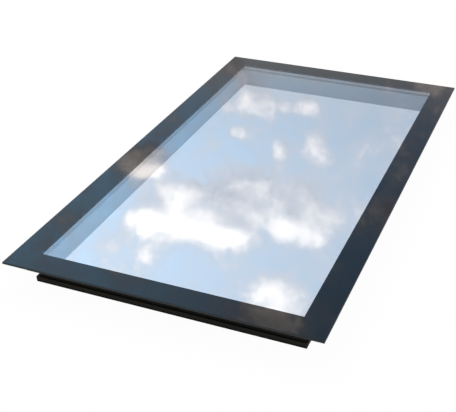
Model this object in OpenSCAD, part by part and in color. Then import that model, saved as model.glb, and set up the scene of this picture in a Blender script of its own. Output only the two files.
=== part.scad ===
// Fixed flat-roof skylight: a stepped double-glazed unit with a dark printed border,
// bonded onto a mitred, thermally broken aluminium frame that drops into a roof kerb.
// Lengths are in millimetres, +Z is up and the front short side faces -Y.
// Sections are drawn with u outwards from the clear opening and z up from the foot seal.

/* [Opening and glass] */
// Clear opening along the short sides
opening_w = 1000; // [600:10:1400]
// Clear opening along the long sides
opening_l = 2000; // [800:10:2800]
// Width of the printed border from the clear opening to the edge of the outer pane
border_w = 100; // [70:1:150]
// Toughened outer pane
outer_pane_t = 8; // [6:1:12]
// Laminated inner pane
inner_pane_t = 8.8; // [6.8:0.1:13.5]
// How far the inner pane reaches past the clear opening
inner_pane_reach = 36; // [34:1:42]
// Sealed cavity between the panes
cavity_h = 16; // [14:1:20]
// Ground arris along the panes' edges
arris = 1; // [0.5:0.1:2]
// Printed enamel layer
frit_t = 0.2; // [0.1:0.05:0.4]

/* [Edge seal of the glass unit] */
// Spacer bar's inner face, measured from the clear opening
spacer_set = 9.5; // [6:0.5:11]
// Spacer bar's width
spacer_w = 7.5; // [6:0.5:9]
// Spacer bar's wall
spacer_wall = 0.8; // [0.5:0.1:1.2]
// Bevel on the spacer bar's sealant side
spacer_bevel = 2; // [1:0.5:3]
// Butyl bead above and below the spacer bar
butyl_t = 0.4; // [0.3:0.1:0.8]
// Length of a spacer corner key's arm
key_arm = 30; // [20:1:50]

/* [Frame section] */
// Frame's full height
frame_h = 69.5; // [68:0.5:90]
// Frame wall's full thickness
wall_w = 20; // [19:0.5:24]
// Wall of the aluminium sections
skin_t = 2; // [1.6:0.1:2.6]
// Height of the projecting foot
foot_h = 15.5; // [12.5:0.5:18]
// Height of the recess above the foot
recess_h = 20; // [16:1:24]
// Depth of the recess above the foot
recess_d = 10; // [8:0.5:11]
// How far the seat leg stands out from the frame wall
leg_w = 24; // [22:1:30]
// Height of the seat leg
leg_h = 16; // [14:0.5:18]
// Thickness of the seat leg's top and bottom plates
leg_plate = 3; // [2.5:0.1:4]
// Lip of the seat leg towards the opening
leg_lip = 6; // [4:0.5:8]
// Lip at the top of the inner rail
top_lip = 5; // [3:0.5:6]
// Lips at the foot that hold the foot seal
seal_lip = 4.5; // [3.5:0.5:5]

/* [Thermal break] */
// Thickness of a thermal break strip
strip_t = 1.8; // [1.5:0.1:2.5]
// Depth of the strip's dovetail foot
dovetail_d = 2.5; // [2:0.1:3]
// Dovetail foot's width at its root
dovetail_root = 4.6; // [4:0.1:5]
// Dovetail foot's width at its neck
dovetail_neck = 3.2; // [2.6:0.1:3.6]
// Wall of a dovetail pocket at its root
hook_t = 1.5; // [1.2:0.1:2]
// Lower strip's height above the frame's underside
strip_low = 6.5; // [6.3:0.1:7]
// Upper strip's height above the frame's underside
strip_high = 47; // [42:1:49]

/* [Corners] */
// Length of a corner cleat's arm past the leg's inner corner
cleat_arm = 70; // [50:5:120]
// Depth of the grooves across a corner cleat
cleat_groove_d = 1.2; // [0.8:0.1:2]
// Width of the grooves across a corner cleat
cleat_groove_w = 4; // [3:0.5:6]
// Where each groove crosses a cleat's arm
cleat_groove_shares = [0.32, 0.52, 0.88]; // [0.2:0.01:0.9]
// Where the screw enters a cleat's arm
cleat_screw_share = 0.7; // [0.6:0.01:0.8]
// Thickness of an alignment angle
angle_t = 2; // [1.5:0.1:2.5]
// Height of an alignment angle
angle_h = 12; // [10:0.5:14]
// Length of an alignment angle's arm
angle_arm = 60; // [40:5:100]
// Wall of the alignment angle's channel
channel_t = 1.2; // [1:0.1:1.5]
// Overlap of the channel over the alignment angle
channel_lip = 2; // [1.5:0.1:3]

/* [Screws and fixing holes] */
// Corner screw's shank radius
screw_r = 2; // [1.5:0.1:2.5]
// Corner screw's head radius
screw_head_r = 4; // [3.5:0.1:5]
// Corner screw's length with its head
screw_l = 11; // [9:0.5:12]
// Radius of the drive recess in a screw head
screw_drive_r = 1.2; // [0.8:0.1:1.5]
// Depth of the drive recess in a screw head
screw_drive_d = 1.4; // [1:0.1:2]
// Radius of the holes for the kerb screws
fixing_r = 3; // [2:0.1:3.5]
// Height of the kerb screws above the frame's underside
fixing_h = 25.5; // [23.5:0.5:27]
// Places of the kerb screws along the long sides
fixing_l_shares = [-0.45, -0.15, 0.15, 0.45]; // [-0.46:0.01:0.46]
// Places of the kerb screws along the short sides
fixing_w_shares = [-0.35, 0.35]; // [-0.4:0.01:0.4]

/* [Seals and bonds] */
// Foot seal's thickness under the frame
foot_seal_t = 6.5; // [3:0.5:8]
// Foot seal's set-back from the frame's outer face
foot_seal_set = 1; // [0.5:0.5:3]
// Room under the inner rail's skin, which stops the foot seal from being pressed further
skin_stop = 1; // [0.5:0.5:2]
// Height of the foot seal's barbed head
barb_h = 1.6; // [1.2:0.1:2]
// Reach of the barbed head behind each seal lip
barb_reach = 1.3; // [0.8:0.1:1.6]
// Kerb seal's thickness under the seat leg
kerb_seal_t = 4; // [3:0.5:6]
// Kerb seal's set-back from both faces of the seat leg
kerb_seal_set = 3; // [2:0.5:5]
// Bond between the frame and the inner pane
bond_t = 4; // [3:0.5:6]
// Inner glazing gasket's set-back from the clear opening
gasket_set = 0.5; // [0.2:0.1:1.5]
// Bonding tape's width
tape_w = 8; // [6:0.5:10]

/* [Fits] */
// Clearance between pieces that slide into one another
fit_gap = 0.1; // [0.05:0.01:0.2]
// Overrun of the cuts
overrun = 1; // [0.5:0.1:2]

/* [Hidden] */
$fn = 48;

SIDES = ["front", "right", "back", "left"];
CORNERS = ["front_left", "front_right", "back_left", "back_right"];

// Levels from the foot seal up
z_frame = foot_seal_t;
z_top = z_frame + frame_h;
z_inner_pane = z_top + bond_t;
z_cavity = z_inner_pane + inner_pane_t;
z_outer_pane = z_cavity + cavity_h;
z_frit = z_outer_pane - frit_t;
z_spacer = z_cavity + butyl_t;
z_spacer_top = z_frit - butyl_t;
z_foot_top = z_frame + foot_h;
z_recess_top = z_foot_top + recess_h;
z_leg = z_top - leg_h;
z_kerb_seal = z_leg - kerb_seal_t;
z_strip_low = z_frame + strip_low;
z_strip_high = z_frame + strip_high;
z_fixing = z_frame + fixing_h;

// Places outwards from the clear opening
u_recess = wall_w - recess_d;
u_web = u_recess - skin_t;
u_outer_skin = wall_w - skin_t;
u_leg = wall_w + leg_w;
u_leg_wall = u_leg - skin_t;
u_leg_lip = u_outer_skin - leg_lip;
u_spacer_out = spacer_set + spacer_w;
u_tape = u_leg_lip + fit_gap;
u_bond = u_tape + tape_w;
u_key = spacer_set + spacer_wall + fit_gap;
u_key_out = u_spacer_out - spacer_wall - fit_gap;
u_angle = skin_t + fit_gap;
u_angle_out = u_angle + angle_t;
u_channel = u_angle_out + fit_gap;
u_cleat = wall_w + fit_gap;
u_cleat_out = u_leg_wall - fit_gap;
u_screw = (u_cleat + u_cleat_out) / 2;

// Heights inside the hollow sections
z_cleat = z_leg + leg_plate + fit_gap;
z_cleat_top = z_top - leg_plate - fit_gap;
z_angle = z_fixing - angle_h / 2;
z_angle_top = z_fixing + angle_h / 2;
hook_half = dovetail_root / 2 + hook_t;
screw_head_h = screw_head_r - screw_r;

half_w = opening_w / 2;
half_l = opening_l / 2;
pane_w = opening_w + 2 * border_w;
pane_l = opening_l + 2 * border_w;

function names(stem, ends) = [for (e = ends) str(stem, "_", e)];

// Helpers for the sides and corners
function is_long(side) = side == "left" || side == "right";
function half_along(side) = is_long(side) ? half_l : half_w;
function half_across(side) = is_long(side) ? half_w : half_l;
function turn(side) = side == "front" ? 0 : side == "right" ? 90 : side == "back" ? 180 : 270;
function on_right(corner) = corner == "front_right" || corner == "back_right";
function on_back(corner) = corner == "back_left" || corner == "back_right";

// A rectangle of a section between two corners
module block(u0, z0, u1, z1) {
    translate([u0, z0])
        square([u1 - u0, z1 - z0]);
}

// A section run along one side and cut to mitres at both ends
module mitred_bar(side, reach, low, high) {
    along = half_along(side);
    across = half_across(side);
    rotate(turn(side))
        intersection() {
            translate([0, -across, 0])
                rotate([90, 0, -90])
                    linear_extrude(height = 2 * (along + reach + overrun), center = true)
                        children();
            translate([0, 0, low - overrun])
                linear_extrude(height = high - low + 2 * overrun)
                    polygon([
                        [overrun - along, overrun - across],
                        [along - overrun, overrun - across],
                        [along + reach + overrun, -across - reach - overrun],
                        [-along - reach - overrun, -across - reach - overrun]
                    ]);
        }
}

// A flat frame between two distances from the clear opening
module ring(u0, u1, low, high) {
    translate([0, 0, low])
        linear_extrude(height = high - low)
            difference() {
                square([opening_w + 2 * u1, opening_l + 2 * u1], center = true);
                square([opening_w + 2 * u0, opening_l + 2 * u0], center = true);
            }
}

// The front left corner's pieces, mirrored to the corner that is asked for
module at_corner(corner) {
    mirror([on_right(corner) ? 1 : 0, 0, 0])
        mirror([0, on_back(corner) ? 1 : 0, 0])
            translate([-half_w, -half_l, 0])
                children();
}

// An L in plan with both arms reaching past the corner of the clear opening
module corner_plan(u0, u1, arm) {
    difference() {
        translate([-u1, -u1])
            square(u1 + arm);
        translate([-u0, -u0])
            square(u0 + arm + overrun);
    }
}

// A pane with a ground arris on its top and bottom edges
module pane_profile(wide, thick) {
    half = wide / 2;
    polygon([
        [arris - half, 0],
        [half - arris, 0],
        [half, arris],
        [half, thick - arris],
        [half - arris, thick],
        [arris - half, thick],
        [-half, thick - arris],
        [-half, arris]
    ]);
}

module pane(wide, long, low, thick) {
    translate([0, 0, low])
        intersection() {
            rotate([90, 0, 0])
                linear_extrude(height = long, center = true)
                    pane_profile(wide, thick);
            rotate([90, 0, 90])
                linear_extrude(height = wide, center = true)
                    pane_profile(long, thick);
        }
}

// Room for a strip's dovetail foot, widest at its root
module dovetail(root, way, level) {
    wide = dovetail_root / 2 + fit_gap;
    neck = dovetail_neck / 2 + fit_gap;
    polygon([
        [root, level - wide],
        [root + way * dovetail_d, level - neck],
        [root + way * dovetail_d, level + neck],
        [root, level + wide]
    ]);
}

// Pocket that grips a strip's foot
module pocket(root, way, level) {
    deep = way * dovetail_d;
    mouth = way * (dovetail_d + overrun);
    neck = dovetail_neck / 2 + fit_gap;
    difference() {
        block(min(root, root + deep), level - hook_half, max(root, root + deep), level + hook_half);
        dovetail(root, way, level);
        block(min(root, root + mouth), level - neck, max(root, root + mouth), level + neck);
    }
}

// Strip with a dovetail foot at each end
module break_section(level) {
    near = skin_t + dovetail_d;
    far = u_outer_skin - dovetail_d;
    web = strip_t / 2;
    neck = dovetail_neck / 2;
    root = dovetail_root / 2;
    polygon([
        [skin_t, level - root],
        [near, level - neck],
        [near, level - web],
        [far, level - web],
        [far, level - neck],
        [u_outer_skin, level - root],
        [u_outer_skin, level + root],
        [far, level + neck],
        [far, level + web],
        [near, level + web],
        [near, level + neck],
        [skin_t, level + root]
    ]);
}

// Frame sections
module outer_section() {
    difference() {
        union() {
            // projecting foot
            block(u_outer_skin, z_frame, wall_w, z_foot_top);
            block(u_web, z_foot_top - skin_t, wall_w, z_foot_top);
            block(u_outer_skin - seal_lip, z_frame, wall_w, z_frame + skin_t);
            pocket(u_outer_skin, -1, z_strip_low);
            // recessed web
            block(u_web, z_foot_top - skin_t, u_recess, z_recess_top + skin_t);
            // upper wall
            block(u_web, z_recess_top, wall_w, z_recess_top + skin_t);
            block(u_outer_skin, z_recess_top, wall_w, z_top);
            pocket(u_outer_skin, -1, z_strip_high);
            // seat leg
            block(u_outer_skin, z_leg, u_leg, z_top);
            block(u_leg_lip, z_top - leg_plate, u_leg, z_top);
        }
        block(wall_w, z_leg + leg_plate, u_leg_wall, z_top - leg_plate);
    }
}

module inner_section() {
    union() {
        block(0, skin_stop, skin_t, z_top);
        block(0, z_top - skin_t, skin_t + top_lip, z_top);
        block(0, z_frame, skin_t + seal_lip, z_frame + skin_t);
        pocket(skin_t, 1, z_strip_low);
        pocket(skin_t, 1, z_strip_high);
        // channel for the alignment angles
        block(0, z_angle - fit_gap - channel_t, u_channel + channel_t, z_angle - fit_gap);
        block(u_channel, z_angle - fit_gap - channel_t, u_channel + channel_t, z_angle + channel_lip);
        block(0, z_angle_top + fit_gap, u_channel + channel_t, z_angle_top + fit_gap + channel_t);
        block(u_channel, z_angle_top - channel_lip, u_channel + channel_t, z_angle_top + fit_gap + channel_t);
    }
}

// Holes for the kerb screws through one side
module fixing_holes(side) {
    shares = is_long(side) ? fixing_l_shares : fixing_w_shares;
    rotate(turn(side))
        for (s = shares)
            translate([s * 2 * half_along(side), -half_across(side) + overrun, z_fixing])
                rotate([90, 0, 0])
                    cylinder(h = wall_w + overrun, r = fixing_r);
}

// A corner screw's outline with a given clearance, standing head down on the leg's underside
module screw_body(grow, tail) {
    rotate_extrude()
        polygon([
            [0, 0],
            [screw_head_r + grow, 0],
            [screw_r + grow, screw_head_h],
            [screw_r + grow, tail],
            [0, tail]
        ]);
}

// The two screw places of a corner, on both arms of its cleat
module at_screws() {
    for (flip = [0, 1])
        mirror([flip, -flip, 0])
            translate([cleat_screw_share * cleat_arm, -u_screw, z_leg])
                children();
}

module screw_holes(corner) {
    at_corner(corner)
        at_screws()
            screw_body(fit_gap, screw_l + fit_gap);
}

// Aluminium frame
module outer_rail(side) {
    color("DimGray")
        difference() {
            mitred_bar(side, u_leg, z_frame, z_top)
                outer_section();
            fixing_holes(side);
            for (c = CORNERS)
                screw_holes(c);
        }
}

module inner_rail(side) {
    color("WhiteSmoke")
        difference() {
            mitred_bar(side, wall_w, skin_stop, z_top)
                inner_section();
            fixing_holes(side);
        }
}

module upper_break(side) {
    color("Black")
        mitred_bar(side, wall_w, z_frame, z_top)
            break_section(z_strip_high);
}

module lower_break(side) {
    color("Black")
        mitred_bar(side, wall_w, z_frame, z_top)
            break_section(z_strip_low);
}

// Corner pieces
module corner_cleat(corner) {
    color("Silver")
        difference() {
            at_corner(corner)
                difference() {
                    translate([0, 0, z_cleat])
                        linear_extrude(height = z_cleat_top - z_cleat)
                            corner_plan(u_cleat, u_cleat_out, cleat_arm);
                    for (flip = [0, 1])
                        mirror([flip, -flip, 0])
                            cleat_grooves();
                }
            screw_holes(corner);
        }
}

module cleat_grooves() {
    for (s = cleat_groove_shares)
        for (z = [z_cleat - overrun, z_cleat_top - cleat_groove_d])
            translate([s * cleat_arm, -u_cleat_out - overrun, z])
                cube([cleat_groove_w, u_cleat_out - u_cleat + 2 * overrun, cleat_groove_d + overrun]);
}

module alignment_angle(corner) {
    color("LightSlateGray")
        at_corner(corner)
            translate([0, 0, z_angle])
                linear_extrude(height = angle_h)
                    corner_plan(u_angle, u_angle_out, angle_arm);
}

module corner_screws() {
    color("Gainsboro")
        for (c = CORNERS)
            at_corner(c)
                at_screws()
                    difference() {
                        screw_body(0, screw_l);
                        translate([0, 0, -overrun])
                            cylinder(h = screw_drive_d + overrun, r = screw_drive_r, $fn = 6);
                    }
}

// Seals under the frame
module foot_seal(side) {
    barb_root = z_frame + skin_t + fit_gap;
    stem_in = skin_t + seal_lip + fit_gap;
    stem_out = u_outer_skin - seal_lip - fit_gap;
    color("Black")
        mitred_bar(side, wall_w, 0, z_top)
            union() {
                block(skin_t + fit_gap, 0, wall_w - foot_seal_set, z_frame);
                block(stem_in, 0, stem_out, barb_root + barb_h);
                polygon([
                    [stem_in - barb_reach, barb_root],
                    [stem_out + barb_reach, barb_root],
                    [stem_out, barb_root + barb_h],
                    [stem_in, barb_root + barb_h]
                ]);
            }
}

module kerb_seal(side) {
    color("Black")
        mitred_bar(side, u_leg, z_kerb_seal, z_leg)
            block(wall_w + kerb_seal_set, z_kerb_seal, u_leg - kerb_seal_set, z_leg);
}

// Beads between the frame and the glass unit
module inner_gasket() {
    color("DarkSlateGray")
        ring(gasket_set, u_tape - fit_gap, z_top, z_inner_pane);
}

module bonding_tape() {
    color("DarkSlateGray")
        ring(u_tape, u_bond, z_top, z_inner_pane);
}

module structural_bond() {
    color("Black")
        ring(u_bond, inner_pane_reach, z_top, z_inner_pane);
}

// Glass unit
module inner_pane() {
    color("LightCyan", 0.35)
        pane(opening_w + 2 * inner_pane_reach, opening_l + 2 * inner_pane_reach, z_inner_pane, inner_pane_t);
}

module outer_pane() {
    color("LightCyan", 0.35)
        pane(pane_w, pane_l, z_outer_pane, outer_pane_t);
}

module frit_border() {
    color("Black")
        ring(0, border_w - arris, z_frit, z_outer_pane);
}

module spacer_outline(inset) {
    bevel = spacer_bevel;
    polygon([
        [spacer_set + inset, z_spacer + inset],
        [u_spacer_out - bevel, z_spacer + inset],
        [u_spacer_out - inset, z_spacer + bevel],
        [u_spacer_out - inset, z_spacer_top - bevel],
        [u_spacer_out - bevel, z_spacer_top - inset],
        [spacer_set + inset, z_spacer_top - inset]
    ]);
}

module spacer_bar(side) {
    color("LightGray")
        mitred_bar(side, u_spacer_out, z_spacer, z_spacer_top)
            difference() {
                spacer_outline(0);
                spacer_outline(spacer_wall);
            }
}

module spacer_keys() {
    color("Gray")
        for (c = CORNERS)
            at_corner(c)
                translate([0, 0, z_spacer + spacer_bevel])
                    linear_extrude(height = z_spacer_top - z_spacer - 2 * spacer_bevel)
                        corner_plan(u_key, u_key_out, key_arm);
}

module desiccant() {
    color("Wheat")
        for (flip = [0, 1])
            mirror([flip, 0, 0])
                translate([half_w + u_key, key_arm + fit_gap - half_l, z_spacer + spacer_bevel])
                    cube([
                        u_key_out - u_key,
                        opening_l - 2 * (key_arm + fit_gap),
                        z_spacer_top - z_spacer - 2 * spacer_bevel
                    ]);
}

module butyl_upper() {
    color("Black")
        ring(spacer_set, u_spacer_out - spacer_bevel, z_spacer_top, z_frit);
}

module butyl_lower() {
    color("Black")
        ring(spacer_set, u_spacer_out - spacer_bevel, z_cavity, z_spacer);
}

module edge_seal() {
    color("Black")
        difference() {
            ring(u_spacer_out - spacer_bevel, inner_pane_reach - arris, z_cavity, z_frit);
            for (side = SIDES)
                mitred_bar(side, u_spacer_out, z_spacer, z_spacer_top)
                    spacer_outline(0);
        }
}

outer_pane();
frit_border();
spacer_keys();
desiccant();
butyl_upper();
butyl_lower();
edge_seal();
inner_pane();
inner_gasket();
bonding_tape();
structural_bond();
corner_screws();
for (side = SIDES) {
    spacer_bar(side);
    outer_rail(side);
    inner_rail(side);
    upper_break(side);
    lower_break(side);
    kerb_seal(side);
    foot_seal(side);
}
for (corner = CORNERS) {
    corner_cleat(corner);
    alignment_angle(corner);
}
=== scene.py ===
"""Looks of a fixed flat-roof skylight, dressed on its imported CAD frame.

The CAD nodes carry every main shape. This script gives each of them its finish, rounds the edges that a
die or a grinding wheel rounds, adds the screw caps that are pressed in by hand, and sets a plain studio.
"""

import logging
import math
from collections.abc import Mapping, Sequence
from dataclasses import dataclass, field
from enum import Enum

import bmesh
import bpy
from mathutils import Matrix, Vector

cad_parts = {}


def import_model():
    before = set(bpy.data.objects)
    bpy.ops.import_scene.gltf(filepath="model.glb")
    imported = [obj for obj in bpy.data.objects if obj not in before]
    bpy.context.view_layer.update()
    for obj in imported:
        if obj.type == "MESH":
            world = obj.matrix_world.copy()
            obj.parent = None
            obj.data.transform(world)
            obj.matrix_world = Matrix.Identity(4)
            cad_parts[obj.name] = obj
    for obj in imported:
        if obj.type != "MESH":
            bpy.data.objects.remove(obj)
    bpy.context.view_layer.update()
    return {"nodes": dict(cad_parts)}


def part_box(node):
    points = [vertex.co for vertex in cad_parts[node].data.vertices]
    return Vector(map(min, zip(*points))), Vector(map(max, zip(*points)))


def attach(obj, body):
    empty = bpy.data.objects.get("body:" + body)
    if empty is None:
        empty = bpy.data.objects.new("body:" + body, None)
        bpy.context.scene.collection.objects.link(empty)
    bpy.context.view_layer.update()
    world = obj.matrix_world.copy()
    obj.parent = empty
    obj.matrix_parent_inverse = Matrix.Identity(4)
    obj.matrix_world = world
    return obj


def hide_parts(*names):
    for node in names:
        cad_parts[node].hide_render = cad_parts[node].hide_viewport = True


LOG = logging.getLogger("skylight")

Tree = bpy.types.NodeTree
Socket = bpy.types.NodeSocket
Nodes = Mapping[str, bpy.types.Object]
Colour = tuple[float, float, float, float]
Triple = tuple[float, float, float]
Pair = tuple[float, float]

BODY = "root"
SIDES = ("front", "right", "back", "left")
CORNERS = ("front_left", "front_right", "back_left", "back_right")
MM = 0.001
WHITE: Colour = (1.0, 1.0, 1.0, 1.0)


def linear(hex_colour: str) -> Colour:
    """Turn an sRGB hex value into Blender's linear colour, by the sRGB standard's curve.

    Args:
        hex_colour: Six hex digits after a hash sign.

    Returns:
        Linear red, green and blue with an alpha of one.
    """
    shares = [int(hex_colour[i:i + 2], 16) / 255 for i in (1, 3, 5)]
    return (*(s / 12.92 if s <= 0.04045 else ((s + 0.055) / 1.055) ** 2.4 for s in shares), 1.0)


def per_metre(size_mm: float) -> float:
    """Give the texture scale at which one cell of a pattern is size_mm wide."""
    return 1 / (size_mm * MM)


def add_node(
    tree: Tree, kind: str, inputs: Mapping[str | int, object] | None = None, **settings: object
) -> bpy.types.Node:
    """Add one shader node with its settings, values and links.

    Args:
        tree: The node tree that it goes into.
        kind: The node's type name after "ShaderNode".
        inputs: Values, or sockets to link from, by input name or number.
        settings: Properties of the node, such as its operation.

    Returns:
        The new node.
    """
    node = tree.nodes.new("ShaderNode" + kind)
    for name, value in settings.items():
        setattr(node, name, value)
    for key, value in (inputs or {}).items():
        if isinstance(value, Socket):
            tree.links.new(value, node.inputs[key])
        else:
            node.inputs[key].default_value = value
    return node


def calc(tree: Tree, operation: str, *values: Socket | float) -> Socket:
    """Work out one step of arithmetic.

    Args:
        tree: The node tree that it goes into.
        operation: The Math node's name of the operation.
        values: Numbers, or sockets to link from.

    Returns:
        The result.
    """
    return add_node(tree, "Math", dict(enumerate(values)), operation=operation).outputs[0]


def ramp(tree: Tree, value: Socket, span: Pair, ends: Pair = (0.0, 1.0), smooth: bool = False) -> Socket:
    """Turn one range of values into another, and hold the ends beyond it.

    Args:
        tree: The node tree that it goes into.
        value: The value to turn.
        span: Where the range begins and ends.
        ends: What it begins and ends as.
        smooth: Whether it eases in and out.

    Returns:
        The turned value.
    """
    limits = {"From Min": span[0], "From Max": span[1], "To Min": ends[0], "To Max": ends[1]}
    kind = "SMOOTHSTEP" if smooth else "LINEAR"
    return add_node(tree, "MapRange", {"Value": value, **limits}, interpolation_type=kind).outputs[0]


def blend(
    tree: Tree, share: Socket, first: Socket | Colour, second: Socket | Colour, clamp: bool = True
) -> Socket:
    """Mix two colours.

    Args:
        tree: The node tree that it goes into.
        share: Share of the second colour.
        first: The first colour.
        second: The second colour.
        clamp: Whether the share is held between zero and one.

    Returns:
        The mixed colour.
    """
    inputs = {0: share, 6: first, 7: second}
    return add_node(tree, "Mix", inputs, data_type="RGBA", clamp_factor=clamp).outputs[2]


def ray_kinds(tree: Tree) -> tuple[Socket, Socket]:
    """Tell the eye's rays, straight or through glass, from those that a mirror sends.

    Args:
        tree: The node tree that asks.

    Returns:
        Two sockets that are one for the eye's rays and for mirrored rays.
    """
    path = add_node(tree, "LightPath").outputs
    eye = calc(tree, "MAXIMUM", path["Is Camera Ray"], path["Is Transmission Ray"])
    return eye, path["Is Glossy Ray"]


def clear_from_behind(tree: Tree, shader: bpy.types.Node) -> bpy.types.Node:
    """Let light pass through a surface from behind.

    Args:
        tree: The material's node tree.
        shader: The surface as it is from in front.

    Returns:
        The shader for both sides.
    """
    behind = add_node(tree, "NewGeometry").outputs["Backfacing"]
    clear = add_node(tree, "BsdfTransparent")
    return add_node(tree, "MixShader", {0: behind, 1: shader.outputs[0], 2: clear.outputs[0]})


def blank_material(title: str) -> tuple[bpy.types.Material, Tree]:
    """Make an empty node material.

    Args:
        title: The material's name.

    Returns:
        The material and its node tree.
    """
    material = bpy.data.materials.new(title)
    material.use_nodes = True
    material.node_tree.nodes.clear()
    return material, material.node_tree


def mesh_data(
    name: str, mesh: bmesh.types.BMesh, materials: Sequence[bpy.types.Material] = ()
) -> bpy.types.Mesh:
    """Turn a worked mesh into the data of an object.

    Args:
        name: The data's name.
        mesh: The worked mesh, which is freed.
        materials: The materials that its faces point to.

    Returns:
        The data.
    """
    data = bpy.data.meshes.new(name)
    for material in materials:
        data.materials.append(material)
    mesh.to_mesh(data)
    mesh.free()
    return data


def add_object(name: str, data: bpy.types.ID) -> bpy.types.Object:
    """Put data into the scene as an object.

    Args:
        name: The object's name.
        data: A mesh, a lamp or a camera.

    Returns:
        The new object.
    """
    made = bpy.data.objects.new(name, data)
    bpy.context.scene.collection.objects.link(made)
    return made


# A line that a die draws is about eighty times as long as it is wide.
LENGTHWISE = 0.012


class Run(Enum):
    """Which way a bar runs, as the shares by which a lengthwise pattern is squeezed on each axis."""

    NONE = (1.0, 1.0, 1.0)
    ALONG_X = (LENGTHWISE, 1.0, 1.0)
    ALONG_Y = (1.0, LENGTHWISE, 1.0)

    @classmethod
    def of_side(cls, side: str) -> "Run":
        """Give the run of a bar on one side of the frame."""
        return cls.ALONG_Y if side in ("left", "right") else cls.ALONG_X


class Grain(Enum):
    """What a finish's small pattern is made of."""

    PEEL = "soft, shallow dimples of a flowed coat"
    SAND = "sharp fine grit"
    LINES = "long lines drawn by a die or a roller"
    CELLS = "round cells or beads packed together"


# Finer layers in each kind of grain, and in the broad drift of tone and the film on the glass.
GRAIN_DETAIL = {Grain.PEEL: 1.0, Grain.SAND: 4.0, Grain.LINES: 3.0}
BROAD_DETAIL = 3.0
# Grain and drift both lie round a half, so their sum runs over this span from dark to light.
TONE_SPAN = (0.6, 1.4)
UNIT_SPAN = (0.0, 1.0)


@dataclass(frozen=True)
class Finish:
    """An opaque surface with a small pattern, a broad drift of tone and a bump.

    Attributes:
        title: Name of the real material and how it was made.
        dark: Darker colour of the pattern, as sRGB hex.
        light: Lighter colour of the pattern, as sRGB hex.
        rough: Lowest and highest roughness over the pattern.
        grain: Kind of small pattern.
        grain_mm: Width of one grain in millimetres.
        bump_mm: Height of the grain in millimetres.
        metallic: One for bare metal.
        specular: Principled specular level.
        drift_mm: Width of the broad change of tone in millimetres.
        clear_back: Whether light from behind passes through.
    """

    title: str
    dark: str
    light: str
    rough: Pair
    grain: Grain
    grain_mm: float
    bump_mm: float
    metallic: float = 0.0
    specular: float = 0.5
    drift_mm: float = 160.0
    clear_back: bool = False

    def pattern(self, tree: Tree, run: Run) -> Socket:
        """Draw the small pattern.

        Args:
            tree: The material's node tree.
            run: Which way the piece runs.

        Returns:
            The socket with the pattern from zero to one.
        """
        place = add_node(tree, "TexCoord").outputs["Object"]
        squeeze = run.value if self.grain is Grain.LINES else Run.NONE.value
        place = add_node(tree, "Mapping", {"Vector": place, "Scale": squeeze}).outputs["Vector"]
        inputs = {"Vector": place, "Scale": per_metre(self.grain_mm)}
        if self.grain is Grain.CELLS:
            return add_node(tree, "TexVoronoi", inputs, feature="F1").outputs["Distance"]
        return add_node(tree, "TexNoise", {**inputs, "Detail": GRAIN_DETAIL[self.grain]}).outputs["Fac"]

    def material(self, run: Run = Run.NONE) -> bpy.types.Material:
        """Build the material, or give it back if it is there.

        Args:
            run: Which way the piece runs.

        Returns:
            The material.
        """
        title = self.title if run is Run.NONE else f"{self.title}_{run.name.lower()}"
        if title in bpy.data.materials:
            return bpy.data.materials[title]
        material, tree = blank_material(title)
        fine = self.pattern(tree, run)
        place = add_node(tree, "TexCoord").outputs["Object"]
        drift = {"Vector": place, "Scale": per_metre(self.drift_mm), "Detail": BROAD_DETAIL}
        broad = add_node(tree, "TexNoise", drift).outputs["Fac"]
        share = ramp(tree, calc(tree, "ADD", fine, broad), TONE_SPAN)
        bump = add_node(tree, "Bump", {"Strength": 1.0, "Distance": self.bump_mm * MM, "Height": fine})
        inputs = {
            "Base Color": blend(tree, share, linear(self.dark), linear(self.light)),
            "Roughness": ramp(tree, share, UNIT_SPAN, self.rough),
            "Normal": bump.outputs["Normal"],
            "Metallic": self.metallic,
            "Specular IOR Level": self.specular,
        }
        shader = add_node(tree, "BsdfPrincipled", inputs)
        if self.clear_back:
            shader = clear_from_behind(tree, shader)
        add_node(tree, "OutputMaterial", {"Surface": shader.outputs[0]})
        return material


# Polyester powder coat, sprayed with a fine texture and baked on an extrusion: matt, near black, with a
# dry sparkle that keeps long edges from reading as plastic. Grit of 0.4 mm is drawn at 1.2 mm to show.
DARK_COAT = Finish(
    "powder_coat_dark_textured", "#1b1a17", "#272621", (0.5, 0.62), Grain.SAND, 1.2, 0.05, specular=0.15
)
# Polyester powder coat, smooth satin on an extrusion: even pale grey-white with a faint orange peel.
PALE_COAT = Finish("powder_coat_pale_satin", "#d0d2d3", "#dcdddd", (0.3, 0.4), Grain.PEEL, 2.6, 0.02)
# Glass-filled polyamide, extruded: dull black with pale fibres lying along the strip.
POLYAMIDE = Finish(
    "polyamide_glass_filled_extruded", "#141414", "#2b2b2a", (0.45, 0.6), Grain.LINES, 0.6, 0.02
)
# Dense rubber, extruded: soft black with die lines along it and a little grey bloom.
RUBBER = Finish(
    "rubber_dense_extruded", "#0a0a09", "#121211", (0.7, 0.85), Grain.LINES, 0.8, 0.05, specular=0.1
)
# Solid silicone, extruded: almost white, soft and with hardly any gloss.
GASKET = Finish("silicone_pale_extruded", "#f0f2f3", "#f8f9f9", (0.5, 0.65), Grain.LINES, 0.8, 0.03)
# Structural silicone, gunned and tooled: almost white, a soft sheen with slow ripples from the tool.
BOND = Finish("silicone_structural_tooled", "#eceeef", "#f6f7f7", (0.4, 0.55), Grain.PEEL, 9.0, 0.15)
# Sealing silicone, pumped round the glass unit: mid grey, smooth, with slow ripples from the nozzle.
SEALANT = Finish("silicone_sealant_pumped", "#a3a8ab", "#b4b9bc", (0.35, 0.5), Grain.PEEL, 7.0, 0.12)
# Butyl, pressed out hot: black and tacky, glossier than rubber.
BUTYL = Finish("butyl_pressed", "#0a0a0a", "#141414", (0.22, 0.38), Grain.PEEL, 3.0, 0.05)
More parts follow.
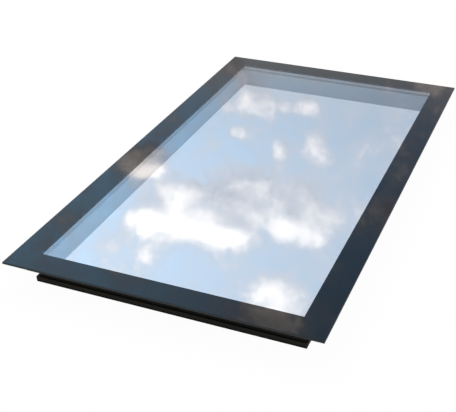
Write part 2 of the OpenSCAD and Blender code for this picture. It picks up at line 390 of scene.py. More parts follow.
# Closed-cell foam tape, slit: pale and dry, with open cells on its cut sides. Drawn at three times size.
FOAM = Finish("foam_tape_slit", "#e6e8e9", "#f6f7f7", (0.75, 0.9), Grain.CELLS, 1.5, 0.15, specular=0.2)
# Aluminium, extruded and sawn, left bare: bright grey with die lines along it.
MILL_ALUMINIUM = Finish(
    "aluminium_mill_extruded", "#a9abad", "#c9cbcc", (0.32, 0.48), Grain.LINES, 0.5, 0.02, metallic=1.0
)
# Stainless strip, rolled and bent: cool grey with fine roller lines.
STEEL_STRIP = Finish(
    "stainless_strip_rolled", "#8f9296", "#b9bcbf", (0.25, 0.4), Grain.LINES, 0.4, 0.01, metallic=1.0
)
# Zinc-plated steel, headed and rolled: bright, slightly blue, with a mottled plate.
ZINC = Finish(
    "steel_zinc_plated", "#a2a8ae", "#ccd2d6", (0.22, 0.36), Grain.SAND, 0.9, 0.01,
    metallic=1.0, drift_mm=6.0,
)
# Nylon, moulded: mid grey with a fine spark-eroded texture.
NYLON = Finish("nylon_moulded", "#494b4d", "#5c5e60", (0.45, 0.55), Grain.SAND, 0.7, 0.03)
# Drying beads, packed: tan balls of 2 mm, drawn darker towards each ball's rim and in the gaps between as
# painted shade. The pale tan sits in the dark slot, so that the middles of the cells come out pale.
BEADS = Finish(
    "molecular_sieve_beads", "#d0bd9c", "#8f8069", (0.7, 0.85), Grain.CELLS, 2.0, 0.8, specular=0.2
)
# Ceramic enamel, screen-printed and fired on the glass: even blue-black, with a faint mottle where the
# print is thicker. A mesh of 0.1 mm is too fine to show, so only the mottle of 5 mm is drawn.
ENAMEL = Finish(
    "enamel_screen_printed", "#14171a", "#1b1f22", (0.4, 0.5), Grain.PEEL, 5.0, 0.01, specular=0.15
)
# Float glass fused to that enamel: the same blue-black under a polished gloss. The film that rain leaves
# blurs the gloss a little in places. Light that the coat beside it sends up leaves through it.
PRINTED_GLASS = Finish(
    "float_glass_over_enamel", ENAMEL.dark, ENAMEL.light, (0.0, 0.03), Grain.PEEL, 5.0, 0.0,
    specular=0.42, clear_back=True,
)
# Float glass edge, ground with a fine wheel: dark grey-green and satin, because it looks into the sheet.
GLASS_EDGE = Finish(
    "float_glass_edge_ground", "#171c1e", "#21282a", (0.35, 0.5), Grain.SAND, 0.8, 0.01, specular=0.3
)
# Polypropylene, moulded and polished: pale cap, a shade glossier than the coat beside it.
CAP_PLASTIC = Finish("polypropylene_moulded", "#dadddf", "#e6e8e9", (0.28, 0.36), Grain.PEEL, 1.8, 0.01)


@dataclass(frozen=True)
class SpacerFinish:
    """Roll-formed aluminium of the spacer bar, with its two rows of breathing holes.

    Attributes:
        title: Name of the real material and how it was made.
        metal: Matt metal round the holes.
        hole: Colour inside a hole, which is painted shade.
        metallic: Share of bare metal under the matt skin.
        rough: Roughness of that skin.
        pitch_mm: Distance between holes along the bar.
        hole_mm: Radius of a hole. Real ones of 0.2 mm are drawn at 0.5 mm to show.
        floor_share: Share of that radius inside which a hole is fully dark with painted shade.
        dent_mm: Depth of a hole.
        rows_z: Heights of the two rows, in metres.
    """

    title: str = "aluminium_roll_formed_perforated"
    metal: str = "#bcc1c5"
    hole: str = "#4a4c4e"
    metallic: float = 0.25
    rough: float = 0.55
    pitch_mm: float = 4.0
    hole_mm: float = 0.5
    floor_share: float = 0.6
    dent_mm: float = 0.3
    rows_z: Pair = (0.0945, 0.0989)

    def holes(self, tree: Tree, run: Run) -> Socket:
        """Draw the rows of holes.

        Args:
            tree: The material's node tree.
            run: Which way the bar runs.

        Returns:
            A socket that is one inside a hole and zero on the metal.
        """
        axes = add_node(tree, "SeparateXYZ", {0: add_node(tree, "TexCoord").outputs["Object"]}).outputs
        along = axes["X" if run is Run.ALONG_X else "Y"]
        step = calc(tree, "PINGPONG", along, self.pitch_mm * MM / 2)
        rise = calc(tree, "SUBTRACT", axes["Z"], sum(self.rows_z) / 2)
        rise = calc(tree, "ABSOLUTE", rise)
        rise = calc(tree, "SUBTRACT", rise, abs(self.rows_z[1] - self.rows_z[0]) / 2)
        offset = add_node(tree, "CombineXYZ", {"X": step, "Y": rise}).outputs[0]
        reach = add_node(tree, "VectorMath", {0: offset}, operation="LENGTH").outputs["Value"]
        return ramp(tree, reach, (self.hole_mm * MM, self.hole_mm * MM * self.floor_share))

    def material(self, run: Run) -> bpy.types.Material:
        """Build the material for a bar, or give it back if it is there.

        Args:
            run: Which way the bar runs.

        Returns:
            The material.
        """
        title = f"{self.title}_{run.name.lower()}"
        if title in bpy.data.materials:
            return bpy.data.materials[title]
        material, tree = blank_material(title)
        hole = self.holes(tree, run)
        dent = {"Strength": 1.0, "Distance": self.dent_mm * MM, "Height": hole}
        inputs = {
            # The holes are only drawn, not cut, so the shade inside them is painted: dark grey over the
            # metal.
            "Base Color": blend(tree, hole, linear(self.metal), linear(self.hole)),
            "Metallic": self.metallic,
            "Roughness": self.rough,
            "Normal": add_node(tree, "Bump", dent, invert=True).outputs["Normal"],
        }
        shader = add_node(tree, "BsdfPrincipled", inputs)
        add_node(tree, "OutputMaterial", {"Surface": shader.outputs[0]})
        return material


# Rain leaves a faint film in patches of about a hand's width, seen only as a change of sharpness.
FILM_MM = 90.0
FILM_ROUGH = (0.0, 0.03)
# By Schlick's rule a mirror grows with the fifth power of how flatly it is seen.
MIRROR_POWER = 5.0


@dataclass(frozen=True)
class GlassFinish:
    """A face of clear glass that lets what is behind it through and mirrors the sky.

    A roof pane is seen as a mirror laid over what lies under it, so the shader mixes a clear pass with a
    mirror by how flatly the face is seen.

    Attributes:
        title: Name of the real material and how it was made.
        mirror: Colour of the mirrored light, as sRGB hex.
        tint: Colour that one pass through the face leaves, as sRGB hex.
        facing: Mirrored share of the face seen square on.
        grazing: Mirrored share that is added when the face is seen edge on.
        loss: Share of the passing light that is lost as well when the face is seen edge on. It stands for
            faint second images of the sky, which lie beside the first one and aren't drawn.
    """

    title: str
    mirror: str
    tint: str
    facing: float
    grazing: float
    loss: float = 0.0

    def material(self) -> bpy.types.Material:
        """Build the material, or give it back if it is there.

        Returns:
            The material.
        """
        if self.title in bpy.data.materials:
            return bpy.data.materials[self.title]
        material, tree = blank_material(self.title)
        facing = add_node(tree, "LayerWeight", {"Blend": 0.5}).outputs["Facing"]
        flat = calc(tree, "POWER", facing, MIRROR_POWER)
        share = calc(tree, "MULTIPLY_ADD", flat, self.grazing, self.facing)
        kept = calc(tree, "MULTIPLY_ADD", flat, -self.loss, 1.0)
        passed = add_node(tree, "VectorMath", {0: linear(self.tint)[:3], "Scale": kept}, operation="SCALE")
        clear = add_node(tree, "BsdfTransparent", {"Color": passed.outputs[0]})
        place = add_node(tree, "TexCoord").outputs["Object"]
        film = {"Vector": place, "Scale": per_metre(FILM_MM), "Detail": BROAD_DETAIL}
        rough = ramp(tree, add_node(tree, "TexNoise", film).outputs["Fac"], UNIT_SPAN, FILM_ROUGH)
        gloss = {"Base Color": linear(self.mirror), "Metallic": 1.0, "Roughness": rough}
        mirror = add_node(tree, "BsdfPrincipled", gloss)
        mixed = add_node(tree, "MixShader", {0: share, 1: clear.outputs[0], 2: mirror.outputs[0]})
        add_node(tree, "OutputMaterial", {"Surface": mixed.outputs[0]})
        return material


# Float glass, toughened: clear, with a plain polished gloss that grows towards a low sight line.
OUTER_GLASS = GlassFinish("float_glass_toughened", "#fafcff", "#ffffff", 0.043, 0.957)
# Sun-control coat, sputtered on the lower face of the clear part: a blue tint and a good sky mirror.
SUN_COAT = GlassFinish("sun_control_coat_sputtered", "#fafcff", "#dfe6f5", 0.28, 0.0, 0.9)
# Glass fused to the enamel below it: no gloss of its own, so that the print lies straight under the glass.
FUSED_GLASS = GlassFinish("float_glass_fused_to_enamel", "#fafcff", "#ffffff", 0.0, 0.0)
# Two sheets of float glass laminated with a clear film: almost colourless, with little gloss of its own.
INNER_GLASS = GlassFinish("float_glass_laminated", "#fafcff", "#fafdfc", 0.012, 0.1, 0.9)


def paint(piece: bpy.types.Object, material: bpy.types.Material) -> None:
    """Give a piece one material.

    Args:
        piece: The object to paint.
        material: The material that it gets.
    """
    piece.data.materials.clear()
    piece.data.materials.append(material)
    LOG.info("%s: %s", piece.name, material.name)


# Points of a CAD mesh that lie closer than this are one point, and edges sharper than this are rounded.
WELD_MM = 0.002
SHARP_DEG = 40


def soften(piece: bpy.types.Object, radius_mm: float, segments: int = 2) -> None:
    """Round the sharp edges of a piece as its die leaves them.

    Args:
        piece: A CAD node's object, whose mesh stays as it is.
        radius_mm: Radius of the rounded edge.
        segments: Faces across the rounding.
    """
    weld = piece.modifiers.new("weld", "WELD")
    weld.merge_threshold = WELD_MM * MM
    bevel = piece.modifiers.new("edge", "BEVEL")
    bevel.width = radius_mm * MM
    bevel.segments = segments
    bevel.profile = 0.5
    bevel.limit_method = "ANGLE"
    bevel.angle_limit = math.radians(SHARP_DEG)
    bevel.use_clamp_overlap = True


# Upright share of a face's normal above which the face counts as level.
LEVEL = 0.99


@dataclass
class Pane:
    """One sheet of glass with ground edges, which stands for its CAD node.

    Attributes:
        node: The CAD node that it stands for.
        slot: The record's slot for the sheet's finish. It is not used.
        upper: Finish of the upper face.
        lower: Finish of the lower face.
        printed: Width of the border with a print under it.
        arris: Width of the ground arris.
        clear_low: Gap under the sheet to what lies against it, so that no two faces share a plane.
        clear_high: The same gap above the sheet.
    """

    node: str
    slot: str
    upper: GlassFinish
    lower: GlassFinish
    printed: float = 0.0
    arris: float = 1.0 * MM
    clear_low: float = 0.05 * MM
    clear_high: float = 0.0

    def build(self) -> bpy.types.Object:
        """Make the sheet, with clear faces and a ground rim.

        Returns:
            The new object.
        """
        low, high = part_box(self.node)
        low.z += self.clear_low
        high.z -= self.clear_high
        mesh = bmesh.new()
        place = Matrix.Translation((low + high) / 2) @ Matrix.Diagonal((*(high - low), 1.0))
        bmesh.ops.create_cube(mesh, size=1.0, matrix=place)
        bmesh.ops.bevel(
            mesh, geom=mesh.edges[:], offset=self.arris, segments=1, profile=0.5, affect="EDGES",
            material=-1,
        )
        stack = sorted(mesh.faces, key=lambda face: face.calc_center_median().z)
        bottom, top = stack[0], stack[-1]
        if self.printed:
            for face in (bottom, top):
                bmesh.ops.inset_region(
                    mesh, faces=[face], thickness=self.printed - self.arris, use_even_offset=True
                )
        finishes = [GLASS_EDGE, self.upper, PRINTED_GLASS, self.lower, FUSED_GLASS]
        for face in mesh.faces:
            face.normal_update()
            if abs(face.normal.z) < LEVEL:
                finish = GLASS_EDGE
            elif face.normal.z > 0:
                finish = self.upper if face == top else PRINTED_GLASS
            else:
                finish = self.lower if face == bottom else FUSED_GLASS
            face.material_index = finishes.index(finish)
        data = mesh_data(f"{self.node}_glass", mesh, [finish.material() for finish in finishes])
        piece = add_object(data.name, data)
        LOG.info("%s: %s over %s", piece.name, self.upper.title, self.lower.title)
        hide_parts(self.node)
        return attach(piece, BODY)


@dataclass
class GlassUnit:
    """The sealed unit: two panes, the printed border, and the spacer with its seals.

    Attributes:
        spacer: Finish of the spacer bars.
        panes: The two sheets of glass.
    """

    spacer: SpacerFinish = field(default_factory=SpacerFinish)
    panes: Sequence[Pane] = (
        Pane("outer_pane", "clear_glass", OUTER_GLASS, SUN_COAT, printed=100.0 * MM),
        Pane("inner_pane", "laminated_glass", INNER_GLASS, INNER_GLASS, clear_high=0.05 * MM),
    )

    def dress(self, nodes: Nodes) -> None:
        """Make the panes and paint every other node of the unit.

        Args:
            nodes: The CAD nodes' objects by name.
        """
        for pane in self.panes:
            pane.build()
        for side in SIDES:
            paint(nodes[f"spacer_bar_{side}"], self.spacer.material(Run.of_side(side)))
        plain = {
            "frit_border": ENAMEL,
            "spacer_keys": NYLON,
            "desiccant": BEADS,
            "butyl_upper": BUTYL,
            "butyl_lower": BUTYL,
            "edge_seal": SEALANT,
        }
        for name, finish in plain.items():
            paint(nodes[name], finish.material())


@dataclass
class FrameRails:
    """The mitred rails and the strips that part them.

    Attributes:
        edge_mm: Radius that the die leaves on a rail's edges.
    """

    edge_mm: float = 0.4

    def dress(self, nodes: Nodes) -> None:
        """Paint the rails and strips and round the rails' edges.

        Args:
            nodes: The CAD nodes' objects by name.
        """
        rails = {"outer_rail": DARK_COAT, "inner_rail": PALE_COAT}
        strips = {"upper_break": POLYAMIDE, "lower_break": POLYAMIDE}
        for side in SIDES:
            for stem, finish in {**rails, **strips}.items():
                paint(nodes[f"{stem}_{side}"], finish.material(Run.of_side(side)))
            for stem in rails:
                soften(nodes[f"{stem}_{side}"], self.edge_mm)


@dataclass
class CornerFittings:
    """The cleats, angles and screws that hold the mitres."""

    def dress(self, nodes: Nodes) -> None:
        """Paint the corner pieces.

        Args:
            nodes: The CAD nodes' objects by name.
        """
        for corner in CORNERS:
            paint(nodes[f"corner_cleat_{corner}"], MILL_ALUMINIUM.material())
            paint(nodes[f"alignment_angle_{corner}"], STEEL_STRIP.material())
        paint(nodes["corner_screws"], ZINC.material())


@dataclass
class SealsAndBonds:
    """The rubber under the frame and the beads between the frame and the glass."""

    def dress(self, nodes: Nodes) -> None:
        """Paint the seals, the gasket, the tape and the bond.

        Args:
            nodes: The CAD nodes' objects by name.
        """
        for side in SIDES:
            for stem in ("kerb_seal", "foot_seal"):
                paint(nodes[f"{stem}_{side}"], RUBBER.material(Run.of_side(side)))
        for name, finish in {"inner_gasket": GASKET, "bonding_tape": FOAM, "structural_bond": BOND}.items():
            paint(nodes[name], finish.material())


@dataclass
class ScrewCaps:
    """Pale caps pressed into the holes of the kerb screws on the frame's inner faces.

    Attributes:
        half_w: Half of the clear opening's width in metres.
        half_l: Half of the clear opening's length in metres.
        height: Height of the holes in metres.
        places_l: Places of the holes along the long sides in metres.
        places_w: Places of the holes along the short sides in metres.
        radius: Radius of a cap's head.
        rise: How far a cap's rim stands off the face.
        edge: Radius of the rim's rounded edge.
        crown: How far its middle stands above the rim.
        crown_reach: Share of the radius that the crown's steps are told in.
        crown_steps: How far in and how far up each step of the crown goes, as shares.
        stem_r: Radius of the stem in the hole.
        stem_l: Length of the stem.
        facets: Sides of the round shapes.
        on_plane: Height below which a point lies on the cap's base.
    """

    half_w: float = 0.5
    half_l: float = 1.0
    height: float = 0.032
    places_l: Sequence[float] = (-0.9, -0.3, 0.3, 0.9)
    places_w: Sequence[float] = (-0.35, 0.35)
    radius: float = 5.0 * MM
    rise: float = 0.7 * MM
    edge: float = 0.3 * MM
    crown: float = 0.4 * MM
    crown_reach: float = 0.55
    crown_steps: Sequence[Pair] = ((0.3, 0.55), (0.45, 0.3), (0.6, 0.15))
    stem_r: float = 2.8 * MM
    stem_l: float = 4.5 * MM
    facets: int = 32
    on_plane: float = 1e-9

    def cap(self, mesh: bmesh.types.BMesh) -> None:
        """Shape one cap on the plane z = 0, its crown up and its stem down.

        Args:
            mesh: The empty mesh that it is made in.
        """
        made = bmesh.ops.create_circle(mesh, cap_ends=True, radius=self.radius, segments=self.facets)
        base = made["verts"][0].link_faces[0]
        body = bmesh.ops.extrude_face_region(mesh, geom=[base])
        top_verts = [g for g in body["geom"] if isinstance(g, bmesh.types.BMVert)]
        top = next(g for g in body["geom"] if isinstance(g, bmesh.types.BMFace))
        bmesh.ops.translate(mesh, verts=top_verts, vec=(0, 0, self.rise))
        rim = list(top.edges)
        for share, lift in self.crown_steps:
            inset = share * self.radius * self.crown_reach
            bmesh.ops.inset_region(mesh, faces=[top], thickness=inset, use_even_offset=True)
            bmesh.ops.translate(mesh, verts=top.verts, vec=(0, 0, self.crown * lift))
        bottom = next(f for f in mesh.faces if all(abs(v.co.z) < self.on_plane for v in f.verts))
        bmesh.ops.inset_region(mesh, faces=[bottom], thickness=self.radius - self.stem_r)
        stem = bmesh.ops.extrude_face_region(mesh, geom=[bottom])
        tip = [g for g in stem["geom"] if isinstance(g, bmesh.types.BMVert)]
        bmesh.ops.delete(mesh, geom=[bottom], context="FACES_ONLY")
        bmesh.ops.translate(mesh, verts=tip, vec=(0, 0, -self.stem_l))
        bmesh.ops.bevel(
            mesh, geom=rim, offset=self.edge, segments=2, profile=0.5, affect="EDGES", material=-1,
            clamp_overlap=True,
        )
        bmesh.ops.recalc_face_normals(mesh, faces=mesh.faces)

    def places(self) -> list[Matrix]:
        """Give where each cap goes.

        Returns:
            One matrix per hole, which turns a cap's crown towards the opening.
        """
        found = []
        for way in (-1, 1):
            for y in self.places_l:
                turn = Matrix.Rotation(-way * math.pi / 2, 4, "Y")
                found.append(Matrix.Translation((way * self.half_w, y, self.height)) @ turn)
            for x in self.places_w:
                turn = Matrix.Rotation(way * math.pi / 2, 4, "X")
                found.append(Matrix.Translation((x, way * self.half_l, self.height)) @ turn)
        return found

    def build(self) -> bpy.types.Object:
        """Make all the caps as one piece that rides on the frame.

        Returns:
            The new object.
        """
        one = bmesh.new()
        self.cap(one)
        pattern = mesh_data("screw_cap_pattern", one)
        mesh = bmesh.new()
        for place in self.places():
            start = len(mesh.verts)
            mesh.from_mesh(pattern)
            mesh.verts.ensure_lookup_table()
            bmesh.ops.transform(mesh, matrix=place, verts=mesh.verts[start:])
        for face in mesh.faces:
            face.smooth = True
        piece = add_object("screw_caps", mesh_data("screw_caps", mesh))
        bpy.data.meshes.remove(pattern)
        paint(piece, CAP_PLASTIC.material())
        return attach(piece, BODY)


@dataclass(frozen=True)
class Cloud:
    """One soft cloud of the mirrored sky. All its sizes are in degrees as seen from the ground.

    Attributes:
        azimuth: Bearing of its middle, from +Y towards +X.
        elevation: Height of its middle above the horizon.
        half_w: Half of its width.
        half_h: Half of its height.
        weight: How surely the sky is covered there. Below zero it is kept clear.
        grey: How far it is shaded instead of sunlit. Below zero it is brighter than the others.
    """

    azimuth: float
    elevation: float
    half_w: float
    half_h: float
    weight: float = 0.6
    grey: float = 0.0


@dataclass
class Sky:
    """The world: plain white to the eye, soft white to the surfaces, and a clouded sky in the mirrors.

    Attributes:
        soft: Strength of the light from all round.
        deep: Linear colour of the clear sky.
        bright: Linear colour of the sky near the sun.
        haze: Linear colour over the horizon.
        sunlit: Linear colour of a cloud's lit side.
        shaded: Linear colour of a cloud's shaded side.
        veil: Linear colour of the thin haze round a cloud.
        glow_place: Azimuth and elevation of the brightest sky, in degrees.
        glow_span: How far from there the brightness ends and is full, in degrees.
        haze_span: Elevations at which the haze begins and is full, in degrees.
        puff_deg: Width of a cloud's puffs in degrees.
        puff_rough: How strongly the puffs' finer layers show.
        puff_twist: How far the puffs are twisted.
        edge_detail: Finer layers of the puffs along a cloud's edge.
        light_detail: Finer layers of the puffs that catch the light.
        ragged: How far the puffs eat into a cloud's edge.
        swell: How strongly the puffs catch the light.
        lift: How far aside and up the light on a cloud is judged, in degrees.
        fade: How far from its middle a cloud ends and is full, in half widths.
        cover: How far past half cover a cloud begins and is dense.
        thin: How far past half cover the veil begins and is full.
        veil_share: Share of the sky that the full veil hides.
        light_span: Slopes at which a cloud is fully lit and fully shaded.
        clouds: The clouds that the main view shows in the glass.
    """

    soft: float = 0.85
    deep: Triple = (0.20, 0.36, 0.57)
    bright: Triple = (0.76, 1.33, 1.86)
    haze: Triple = (0.82, 0.80, 0.74)
    sunlit: Triple = (1.72, 1.54, 1.40)
    shaded: Triple = (0.36, 0.34, 0.39)
    veil: Triple = (0.66, 0.57, 0.60)
    glow_place: Pair = (-44.0, 25.6)
    glow_span: Pair = (35.7, 0.5)
    haze_span: Pair = (25.5, 19.0)
    puff_deg: float = 1.9
    puff_rough: float = 0.64
    puff_twist: float = 0.25
    edge_detail: float = 8.0
    light_detail: float = 6.0
    ragged: float = 2.6
    swell: float = 1.5
    lift: Pair = (-0.6, 0.8)
    fade: Pair = (1.6, 0.2)
    cover: Pair = (0.12, 0.95)
    thin: Pair = (-0.25, 0.45)
    veil_share: float = 0.6
    light_span: Pair = (0.5, -0.5)
    clouds: Sequence[Cloud] = (
        # The bank across the middle: left, middle and right parts, its grey base and its bulging tops.
        Cloud(-20.8, 30.3, 6.0, 2.4, 0.5, 0.3),
        Cloud(-26.5, 30.7, 3.0, 1.6, 0.85, -0.6),
        Cloud(-22.8, 31.2, 2.0, 1.3, 0.5, -0.5),
        Cloud(-16.9, 30.7, 2.8, 1.7, 0.65, -0.25),
        Cloud(-26.3, 28.9, 1.4, 0.9, 0.5, -0.3),
        Cloud(-22.2, 28.5, 2.4, 1.2, 0.5, 0.05),
        Cloud(-24.0, 32.2, 1.3, 0.8, 0.6, -0.2),
        Cloud(-22.3, 32.1, 0.9, 0.7, 0.4, -0.3),
        Cloud(-18.8, 31.5, 0.9, 0.8, 0.45, -0.3),
        Cloud(-16.4, 32.2, 1.0, 0.6, 0.3),
        Cloud(-29.2, 30.8, 1.3, 0.9, 0.8, -0.4),
        Cloud(-30.2, 32.8, 2.2, 1.1, 0.55, -0.3),
        # The cloud on the left edge: its body and its bright rim.
        Cloud(-29.2, 26.8, 2.2, 0.9, 0.85, -0.1),
        Cloud(-28.6, 27.8, 1.8, 0.4, 0.6, -0.4),
        # The row at the far end and the small ones in front of it.
        Cloud(-20.8, 23.6, 1.7, 1.0, 0.85, 0.12),
        Cloud(-17.6, 23.8, 1.3, 0.7, 0.65, 0.15),
        Cloud(-22.0, 25.5, 0.6, 0.45, 0.55, 0.2),
        Cloud(-19.2, 26.9, 0.6, 0.9, 0.65, 0.1),
        Cloud(-16.6, 26.3, 1.0, 0.9, 0.65, 0.15),
        # A clear gap at the right, where the veil is thin.
        Cloud(-13.2, 34.0, 1.8, 2.6, -0.45),
        # The white one at the near end and those that only the border shows.
        Cloud(-19.1, 35.7, 2.4, 1.2, 1.2, -0.4),
        Cloud(-19.8, 37.2, 2.6, 0.8, 0.6, 0.5),
        Cloud(-11.5, 29.9, 0.8, 1.2, 0.5, 0.6),
        Cloud(-9.2, 22.0, 1.4, 0.7, 0.75, 0.4),
        Cloud(-22.7, 21.6, 1.4, 1.0, 0.5, 0.5),
    )

    def spread(self, tree: Tree, place: Socket, name: str, lift: Pair = (0.0, 0.0)) -> Socket:
        """Add up one property of all the clouds, each fading out from its middle.

        Args:
            tree: The world's node tree.
            place: Azimuth and elevation in degrees.
            name: The property, "weight" or "grey".
            lift: How far beside and above that place to judge, in degrees.

        Returns:
            The sum.
        """
        total: Socket | float = 0.0
        for cloud in (c for c in self.clouds if getattr(c, name)):
            middle = {
                "Vector": place,
                "Location": (cloud.azimuth - lift[0], cloud.elevation - lift[1], 0.0),
                "Scale": (cloud.half_w, cloud.half_h, 1.0),
            }
            at = add_node(tree, "Mapping", middle, vector_type="TEXTURE").outputs[0]
            far = add_node(tree, "VectorMath", {0: at}, operation="LENGTH").outputs["Value"]
            near = ramp(tree, far, self.fade, smooth=True)
            total = calc(tree, "MULTIPLY_ADD", near, getattr(cloud, name), total)
        return total

    def puffs(self, tree: Tree, way: Socket, detail: float, lift: Pair = (0.0, 0.0)) -> Socket:
        """Draw the clouds' round puffs.

        Args:
            tree: The world's node tree.
            way: The direction that is looked in.
            detail: How many finer layers the puffs have.
            lift: How far beside and above that direction to judge, in degrees.

        Returns:
            The puffs from zero to one.
        """
        aside, up = (math.radians(a) for a in lift)
        above = add_node(tree, "VectorMath", {0: way, 1: (aside, 0.0, up)}, operation="ADD")
        noise = {
            "Vector": above.outputs[0],
            "Scale": 1 / math.radians(self.puff_deg),
            "Detail": detail,
            "Roughness": self.puff_rough,
            "Distortion": self.puff_twist,
        }
        return add_node(tree, "TexNoise", noise).outputs["Fac"]

    def clear(self, tree: Tree, place: Socket) -> Socket:
        """Draw the sky behind the clouds, bright near the sun and hazy near the ground.

        Args:
            tree: The world's node tree.
            place: Azimuth and elevation in degrees.

        Returns:
            Its colour.
        """
        sun = add_node(tree, "VectorMath", {0: place, 1: (*self.glow_place, 0.0)}, operation="DISTANCE")
        glow = ramp(tree, sun.outputs["Value"], self.glow_span, smooth=True)
        sky = blend(tree, glow, (*self.deep, 1.0), (*self.bright, 1.0))
        height = add_node(tree, "SeparateXYZ", {0: place}).outputs["Y"]
        return blend(tree, ramp(tree, height, self.haze_span, smooth=True), sky, (*self.haze, 1.0))

    def cloud_colour(self, tree: Tree, way: Socket, place: Socket, here: Socket) -> Socket:
        """Shade the clouds: lit where they thin out upwards, dull where more of them lies above.

        Args:
            tree: The world's node tree.
            way: The direction that is looked in.
            place: Its azimuth and elevation in degrees.
            here: How surely the sky is covered there.

        Returns:
            The clouds' colour.
        """
        rise = calc(tree, "SUBTRACT", here, self.spread(tree, place, "weight", self.lift))
        level, above = (self.puffs(tree, way, self.light_detail, lift) for lift in ((0.0, 0.0), self.lift))
        lit = calc(tree, "MULTIPLY_ADD", calc(tree, "SUBTRACT", level, above), self.swell, rise)
        dull = calc(tree, "ADD", ramp(tree, lit, self.light_span), self.spread(tree, place, "grey"))
        dull = calc(tree, "MINIMUM", dull, 1.0)
        # The share may fall below zero, which makes a cloud near the sun brighter than its sunlit colour.
        return blend(tree, dull, (*self.sunlit, 1.0), (*self.shaded, 1.0), clamp=False)

    def mirrored(self, tree: Tree) -> Socket:
        """Draw the sky that the mirrors show.

        Args:
            tree: The world's node tree.

        Returns:
            The sky's colour.
        """
        way = add_node(tree, "TexCoord").outputs["Generated"]
        axes = add_node(tree, "SeparateXYZ", {0: way}).outputs
        azimuth = calc(tree, "ARCTAN2", axes["X"], axes["Y"])
        elevation = calc(tree, "ARCSINE", axes["Z"])
        turn = add_node(tree, "CombineXYZ", {"X": azimuth, "Y": elevation}).outputs[0]
        degrees = {0: turn, "Scale": math.degrees(1)}
        place = add_node(tree, "VectorMath", degrees, operation="SCALE").outputs[0]
        here = self.spread(tree, place, "weight")
        edge = self.puffs(tree, way, self.edge_detail)
        full = calc(tree, "MULTIPLY_ADD", edge, self.ragged, here)
        half = self.ragged / 2
        mask = ramp(tree, full, (half + self.cover[0], half + self.cover[1]), smooth=True)
        thin = ramp(tree, full, (half + self.thin[0], half + self.thin[1]), (0.0, self.veil_share))
        sky = blend(tree, thin, self.clear(tree, place), (*self.veil, 1.0))
        return blend(tree, mask, sky, self.cloud_colour(tree, way, place, here))

    def build(self) -> None:
        """Make the world."""
        world = bpy.data.worlds.new("sky")
        bpy.context.scene.world = world
        world.use_nodes = True
        tree = world.node_tree
        tree.nodes.clear()
        eye, mirror = ray_kinds(tree)
        white = add_node(tree, "Background", {"Color": WHITE, "Strength": 1.0})
        soft = add_node(tree, "Background", {"Color": WHITE, "Strength": self.soft})
        sky = add_node(tree, "Background", {"Color": self.mirrored(tree), "Strength": 1.0})
        # Whole shaders are mixed, so that the sky is only worked out for the rays that a mirror sends up.
        plain = add_node(tree, "MixShader", {0: eye, 1: soft.outputs[0], 2: white.outputs[0]})
        mixed = add_node(tree, "MixShader", {0: mirror, 1: plain.outputs[0], 2: sky.outputs[0]})
        add_node(tree, "OutputWorld", {"Surface": mixed.outputs[0]})


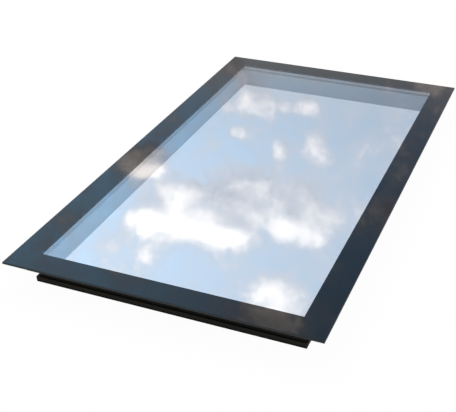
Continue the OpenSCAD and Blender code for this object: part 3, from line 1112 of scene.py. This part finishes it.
@dataclass
class Studio:
    """The floor, the soft lamp and the camera.

    Attributes:
        floor_half: Half size of the floor in metres.
        floor_colour: Colour of the floor, as sRGB hex.
        floor_glow: Share of the floor that stays white to the eye whatever shadow falls on it.
        mirrored_glow: Share of that glow that mirrors see, since the upright faces stand dark on white.
        lamp_place: The lamp's place in metres.
        lamp_size: The lamp's side in metres.
        lamp_power: The lamp's power in watts.
        camera_place: The camera's place in metres.
        camera_turn: The camera's turn about X, Y and Z in degrees.
        lens: The camera's lens in millimetres.
        sensor: Width of the camera's sensor in millimetres.
        clear_faces: Clear faces that one sight line may cross. Through both panes, and on from there to
            the light, it crosses eight.
    """

    floor_half: float = 60.0
    floor_colour: str = "#f4f4f4"
    floor_glow: float = 0.97
    mirrored_glow: float = 0.2
    lamp_place: Triple = (-2.5, 2.0, 5.0)
    lamp_size: float = 4.0
    lamp_power: float = 150.0
    camera_place: Triple = (1.19165, -3.27980, 1.90170)
    camera_turn: Triple = (59.9385, 0.3670, 22.5730)
    lens: float = 71.670
    sensor: float = 36.0
    clear_faces: int = 32

    def floor(self) -> None:
        """Lay a plain floor under the frame, white to the eye and with hardly any shadow on it."""
        material, tree = blank_material("floor_paint_matt")
        eye, mirror = ray_kinds(tree)
        seen = calc(tree, "MULTIPLY_ADD", mirror, self.mirrored_glow, eye)
        share = calc(tree, "MULTIPLY", seen, self.floor_glow)
        matt = add_node(tree, "BsdfDiffuse", {"Color": linear(self.floor_colour)})
        glow = add_node(tree, "Emission", {"Color": WHITE, "Strength": 1.0})
        mixed = add_node(tree, "MixShader", {0: share, 1: matt.outputs[0], 2: glow.outputs[0]})
        # From below the floor is clear, so that the underside can be looked at.
        mixed = clear_from_behind(tree, mixed)
        add_node(tree, "OutputMaterial", {"Surface": mixed.outputs[0]})
        mesh = bmesh.new()
        bmesh.ops.create_grid(mesh, x_segments=1, y_segments=1, size=self.floor_half)
        floor = add_object("studio_floor", mesh_data("studio_floor", mesh, [material]))

    def lamp(self) -> None:
        """Hang one large soft lamp high on the left."""
        data = bpy.data.lights.new("soft_lamp", "AREA")
        data.shape = "SQUARE"
        data.size = self.lamp_size
        data.energy = self.lamp_power
        lamp = add_object("soft_lamp", data)
        lamp.location = self.lamp_place
        lamp.rotation_euler = (-Vector(self.lamp_place)).to_track_quat("-Z", "Y").to_euler()
        lamp.visible_camera = False
        lamp.visible_glossy = False

    def camera(self) -> None:
        """Set the camera at the photograph's viewing angle."""
        data = bpy.data.cameras.new("photo_camera")
        data.sensor_width = self.sensor
        data.lens = self.lens
        camera = add_object("photo_camera", data)
        camera.location = self.camera_place
        camera.rotation_euler = tuple(math.radians(a) for a in self.camera_turn)
        bpy.context.scene.camera = camera

    def build(self) -> None:
        """Make the floor, the lamp, the camera and the view settings."""
        self.floor()
        self.lamp()
        self.camera()
        scene = bpy.context.scene
        scene.view_settings.view_transform = "Standard"
        scene.cycles.transparent_max_bounces = self.clear_faces


def main() -> None:
    """Load the frame, dress every sub-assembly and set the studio."""
    logging.basicConfig(level=logging.INFO, format="%(name)s %(message)s")
    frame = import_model()
    nodes = frame["nodes"]
    for assembly in (GlassUnit(), FrameRails(), CornerFittings(), SealsAndBonds()):
        assembly.dress(nodes)
    ScrewCaps().build()
    Sky().build()
    Studio().build()


if __name__ == "__main__":
    main()
